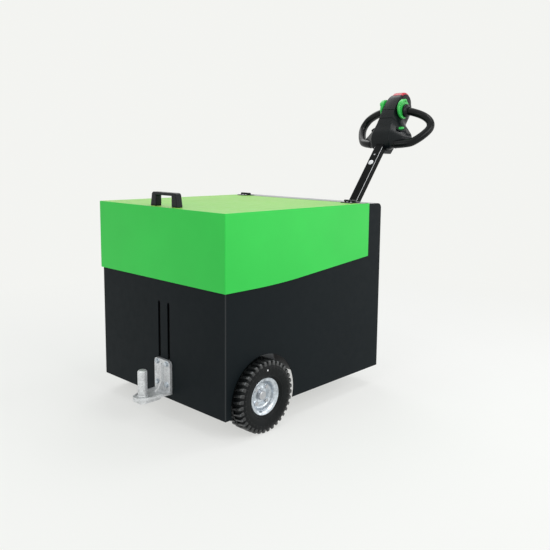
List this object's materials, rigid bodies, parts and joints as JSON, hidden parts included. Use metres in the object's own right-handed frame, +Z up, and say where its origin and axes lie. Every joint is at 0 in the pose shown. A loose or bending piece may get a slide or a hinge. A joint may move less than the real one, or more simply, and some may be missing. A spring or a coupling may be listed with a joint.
{
  "type": "electric tow tug",
  "caption": "Pedestrian-steered electric towing machine: box body with hinged hood, two treaded wheels, steered drive wheel, tilting tiller and an upright tow pin.",
  "frame": {"origin": "middle of the bounding box, on the floor", "axes": "+X from the tow pin towards the tiller, +Y to the left side, +Z up along the tow pin"},
  "size_m": [1.6748, 0.78, 1.2688],
  "materials": {
    "hood_paint": "bright green powder coat, semi-gloss",
    "body_paint": "fine-textured black powder coat",
    "tyre_rubber": "matte black rubber",
    "drive_tread": "dark solid rubber tread",
    "zinc": "bright zinc plating",
    "galvanised": "galvanised steel",
    "seal_rubber": "black foam rubber",
    "black_plastic": "black moulded plastic, fine grain",
    "grip": "black soft-touch moulding",
    "green_plastic": "green moulded plastic",
    "red_plastic": "red moulded plastic",
    "cast_case": "cast aluminium",
    "motor_paint": "black enamel",
    "unit_steel": "dark grey enamel"
  },
  "bodies": {
    "chassis": {"axle": "body_paint", "battery": "black_plastic", "console": "body_paint", "deck": "body_paint", "drive_bay": "body_paint", "hinge_fixed": "black_plastic", "hinge_rail": "hood_paint", "hitch_bolts": "galvanised", "hitch_bracket": "galvanised", "hitch_panel": "body_paint", "hood_seal": "seal_rubber", "mount_plate": "body_paint", "rails": "body_paint", "side_panel_left": "body_paint", "side_panel_right": "body_paint", "steer_bearing": "unit_steel", "tiller_panel": "body_paint", "tow_pin": "galvanised"},
    "hood": {"hood": "hood_paint", "hood_handle": "black_plastic", "hinge_moving": "black_plastic"},
    "main_wheel_left": {"tyre_left": "tyre_rubber", "rim_left": "zinc", "hub_left": "zinc"},
    "main_wheel_right": {"tyre_right": "tyre_rubber", "rim_right": "zinc", "hub_right": "zinc"},
    "steering": {"yoke": "unit_steel", "drive_axle": "galvanised", "drive_gearbox": "cast_case", "turntable": "unit_steel", "drive_motor": "motor_paint", "pivot_pin": "galvanised"},
    "drive_wheel": {"drive_tyre": "drive_tread", "drive_hub": "unit_steel"},
    "tiller": {"belly_button": "red_plastic", "handle_loop_left": "grip", "handle_loop_right": "grip", "head_bracket": "black_plastic", "head_housing": "black_plastic", "side_buttons": "green_plastic", "thumb_wheel_left": "green_plastic", "thumb_wheel_right": "green_plastic", "tiller_arm": "body_paint"}
  },
  "joints": [
    {"name": "hood_hinge", "type": "hinge", "parent": "chassis", "child": "hood", "pos_m": [-0.00637, 0, 0.768], "axis": [0, 1, 0], "range_deg": [0, 80]},
    {"name": "main_wheel_left_spin", "type": "hinge", "parent": "chassis", "child": "main_wheel_left", "pos_m": [-0.55037, 0.3475, 0.127], "axis": [0, 1, 0], "continuous": true},
    {"name": "main_wheel_right_spin", "type": "hinge", "parent": "chassis", "child": "main_wheel_right", "pos_m": [-0.55037, -0.3475, 0.127], "axis": [0, 1, 0], "continuous": true},
    {"name": "steering_swivel", "type": "hinge", "parent": "chassis", "child": "steering", "pos_m": [0.01963, 0, 0.28], "axis": [0, 0, 1], "range_deg": [-50, 50]},
    {"name": "drive_wheel_spin", "type": "hinge", "parent": "steering", "child": "drive_wheel", "pos_m": [0.01963, 0, 0.115], "axis": [0, 1, 0], "continuous": true},
    {"name": "tiller_tilt", "type": "hinge", "parent": "steering", "child": "tiller", "pos_m": [0.18463, 0, 0.432], "axis": [0, 1, 0], "range_deg": [-22, 37]}
  ]
}
